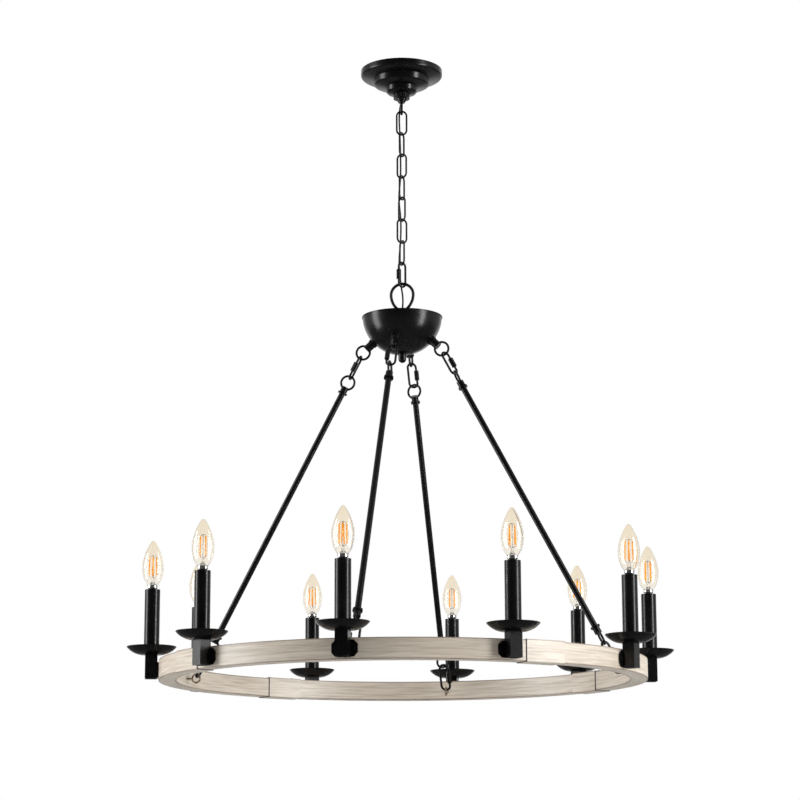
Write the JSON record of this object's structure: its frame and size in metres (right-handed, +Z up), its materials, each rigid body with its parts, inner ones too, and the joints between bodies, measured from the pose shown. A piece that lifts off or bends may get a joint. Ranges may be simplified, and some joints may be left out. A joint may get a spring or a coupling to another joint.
{
  "type": "wagon wheel chandelier",
  "caption": "Round candle-style ceiling light: a flat rectangular-tube wheel hung from a chain, a bowl-shaped hub and slanting rods, with upright candle lamps outside the wheel.",
  "frame": {"origin": "centre of the crossbar's top face, in the ceiling plane, on the chain's axis", "axes": "+Z up; the slots of the crossbar lie along X; the first candle and the first hanger face -Y"},
  "size_m": [0.862, 0.9022, 1.0512],
  "materials": {
    "black_metal": "semi-gloss black powder coat",
    "chain_black": "satin black paint",
    "pale_ring": "brushed pale tan paint with a faint grain",
    "zinc_steel": "zinc plated",
    "brass": "plain",
    "cord_sheath": "smooth flexible sheath",
    "block_plastic": "moulded",
    "socket_plastic": "moulded",
    "amber_glass": "clear, tinted amber"
  },
  "bodies": {
    "ceiling_mount": {"ceiling_crossbar": "zinc_steel", "earth_screw": "brass", "stem_nipple": "zinc_steel", "stem_locknuts": "zinc_steel", "canopy_loop": "black_metal", "supply_cord": "cord_sheath"},
    "canopy": {"canopy": "black_metal"},
    "collar_nut": {"collar_nut": "black_metal"},
    "link_1": {"chain_link_1": "chain_black"},
    "link_2": {"chain_link_2": "chain_black"},
    "link_3": {"chain_link_3": "chain_black"},
    "link_4": {"chain_link_4": "chain_black"},
    "link_5": {"chain_link_5": "chain_black"},
    "link_6": {"chain_link_6": "chain_black"},
    "link_7": {"chain_link_7": "chain_black"},
    "quick_link": {"top_quick_link": "black_metal"},
    "quick_nut": {"top_link_nut": "black_metal"},
    "hub": {"hub_loop": "black_metal", "hub_lid": "black_metal", "hub_bowl": "black_metal", "hub_nipple": "zinc_steel", "finial": "black_metal", "hub_locknuts": "zinc_steel", "terminal_block": "block_plastic", "hub_eyes": "black_metal", "hub_eye_nuts": "zinc_steel"},
    "hanger_1": {"upper_link_1": "black_metal", "hanger_rod_1": "black_metal", "lower_link_1": "black_metal"},
    "hanger_2": {"upper_link_2": "black_metal", "hanger_rod_2": "black_metal", "lower_link_2": "black_metal"},
    "hanger_3": {"upper_link_3": "black_metal", "hanger_rod_3": "black_metal", "lower_link_3": "black_metal"},
    "hanger_4": {"upper_link_4": "black_metal", "hanger_rod_4": "black_metal", "lower_link_4": "black_metal"},
    "wheel": {"ring_segment_1": "pale_ring", "ring_segment_2": "pale_ring", "ring_segment_3": "pale_ring", "ring_segment_4": "pale_ring", "joint_sleeves": "pale_ring", "wheel_screws": "black_metal", "ring_eyes": "pale_ring", "bracket_plates": "black_metal", "candle_brackets": "black_metal", "drip_pans": "black_metal", "candle_sleeves": "black_metal", "lamp_sockets": "socket_plastic"},
    "bulb_1": {"bulb_1": "amber_glass"},
    "bulb_2": {"bulb_2": "amber_glass"},
    "bulb_3": {"bulb_3": "amber_glass"},
    "bulb_4": {"bulb_4": "amber_glass"},
    "bulb_5": {"bulb_5": "amber_glass"},
    "bulb_6": {"bulb_6": "amber_glass"},
    "bulb_7": {"bulb_7": "amber_glass"},
    "bulb_8": {"bulb_8": "amber_glass"},
    "bulb_9": {"bulb_9": "amber_glass"},
    "bulb_10": {"bulb_10": "amber_glass"}
  },
  "joints": [
    {"name": "canopy_drop", "type": "slide", "parent": "ceiling_mount", "child": "canopy", "axis": [0, 0, -1], "range_m": [0, 0.025]},
    {"name": "collar_turn", "type": "hinge", "parent": "canopy", "child": "collar_nut", "pos_m": [0, 0, -0.046], "axis": [0, 0, 1], "continuous": true},
    {"name": "link_1_swing", "type": "hinge", "parent": "ceiling_mount", "child": "link_1", "pos_m": [0, 0, -0.07645], "axis": [-0.2164, 0.9763, 0], "range_deg": [-20, 20], "deforming": ["supply_cord"]},
    {"name": "link_2_swing", "type": "hinge", "parent": "link_1", "child": "link_2", "pos_m": [0, 0, -0.11425], "axis": [-0.9763, -0.2164, 0], "range_deg": [-20, 20], "deforming": ["supply_cord"]},
    {"name": "link_3_swing", "type": "hinge", "parent": "link_2", "child": "link_3", "pos_m": [0, 0, -0.1527], "axis": [0.2334, 0.9724, 0], "range_deg": [-20, 20], "deforming": ["supply_cord"]},
    {"name": "link_4_swing", "type": "hinge", "parent": "link_3", "child": "link_4", "pos_m": [0, 0, -0.19115], "axis": [-0.9724, 0.2334, 0], "range_deg": [-20, 20], "deforming": ["supply_cord"]},
    {"name": "link_5_swing", "type": "hinge", "parent": "link_4", "child": "link_5", "pos_m": [0, 0, -0.2296], "axis": [0.2672, 0.9636, 0], "range_deg": [-20, 20], "deforming": ["supply_cord"]},
    {"name": "link_6_swing", "type": "hinge", "parent": "link_5", "child": "link_6", "pos_m": [0, 0, -0.26805], "axis": [-0.7826, 0.6225, 0], "range_deg": [-20, 20], "deforming": ["supply_cord"]},
    {"name": "link_7_swing", "type": "hinge", "parent": "link_6", "child": "link_7", "pos_m": [0, 0, -0.3065], "axis": [0.8141, 0.5807, 0], "range_deg": [-20, 20], "deforming": ["supply_cord"]},
    {"name": "quick_link_swing", "type": "hinge", "parent": "link_7", "child": "quick_link", "pos_m": [0, 0, -0.34495], "axis": [-0.6088, 0.7934, 0], "range_deg": [-20, 20], "deforming": ["supply_cord"]},
    {"name": "hub_swing", "type": "hinge", "parent": "quick_link", "child": "hub", "pos_m": [0, 0, -0.38335], "axis": [0.5948, 0.8039, 0], "range_deg": [-12, 12], "deforming": ["supply_cord"]},
    {"name": "quick_nut_travel", "type": "slide", "parent": "quick_link", "child": "quick_nut", "axis": [0, 0, 1], "range_m": [0, 0.005]},
    {"name": "wheel_turn", "type": "hinge", "parent": "hub", "child": "wheel", "pos_m": [0, 0, -0.49452], "axis": [0, 0, 1], "range_deg": [-3, 3]},
    {"name": "hanger_1_lean", "type": "hinge", "parent": "hub", "child": "hanger_1", "pos_m": [0, -0.07305, -0.50478], "axis": [0, -0.8843, 0.4668], "range_deg": [-1.8, 1.8]},
    {"name": "hanger_2_lean", "type": "hinge", "parent": "hub", "child": "hanger_2", "pos_m": [0.07305, 0, -0.50478], "axis": [0.8843, 0, 0.4668], "range_deg": [-1.8, 1.8]},
    {"name": "hanger_3_lean", "type": "hinge", "parent": "hub", "child": "hanger_3", "pos_m": [0, 0.07305, -0.50478], "axis": [0, 0.8843, 0.4668], "range_deg": [-1.8, 1.8]},
    {"name": "hanger_4_lean", "type": "hinge", "parent": "hub", "child": "hanger_4", "pos_m": [-0.07305, 0, -0.50478], "axis": [-0.8843, 0, 0.4668], "range_deg": [-1.8, 1.8]},
    {"name": "bulb_1_out", "type": "slide", "parent": "wheel", "child": "bulb_1", "axis": [0, 0, 1], "range_m": [0, 0.028]},
    {"name": "bulb_2_out", "type": "slide", "parent": "wheel", "child": "bulb_2", "axis": [0, 0, 1], "range_m": [0, 0.028]},
    {"name": "bulb_3_out", "type": "slide", "parent": "wheel", "child": "bulb_3", "axis": [0, 0, 1], "range_m": [0, 0.028]},
    {"name": "bulb_4_out", "type": "slide", "parent": "wheel", "child": "bulb_4", "axis": [0, 0, 1], "range_m": [0, 0.028]},
    {"name": "bulb_5_out", "type": "slide", "parent": "wheel", "child": "bulb_5", "axis": [0, 0, 1], "range_m": [0, 0.028]},
    {"name": "bulb_6_out", "type": "slide", "parent": "wheel", "child": "bulb_6", "axis": [0, 0, 1], "range_m": [0, 0.028]},
    {"name": "bulb_7_out", "type": "slide", "parent": "wheel", "child": "bulb_7", "axis": [0, 0, 1], "range_m": [0, 0.028]},
    {"name": "bulb_8_out", "type": "slide", "parent": "wheel", "child": "bulb_8", "axis": [0, 0, 1], "range_m": [0, 0.028]},
    {"name": "bulb_9_out", "type": "slide", "parent": "wheel", "child": "bulb_9", "axis": [0, 0, 1], "range_m": [0, 0.028]},
    {"name": "bulb_10_out", "type": "slide", "parent": "wheel", "child": "bulb_10", "axis": [0, 0, 1], "range_m": [0, 0.028]}
  ],
  "couplings": [
    {"joint": "hanger_1_lean", "follows": "wheel_turn", "ratio": 0.5896},
    {"joint": "hanger_2_lean", "follows": "wheel_turn", "ratio": 0.5896},
    {"joint": "hanger_3_lean", "follows": "wheel_turn", "ratio": 0.5896},
    {"joint": "hanger_4_lean", "follows": "wheel_turn", "ratio": 0.5896}
  ]
}
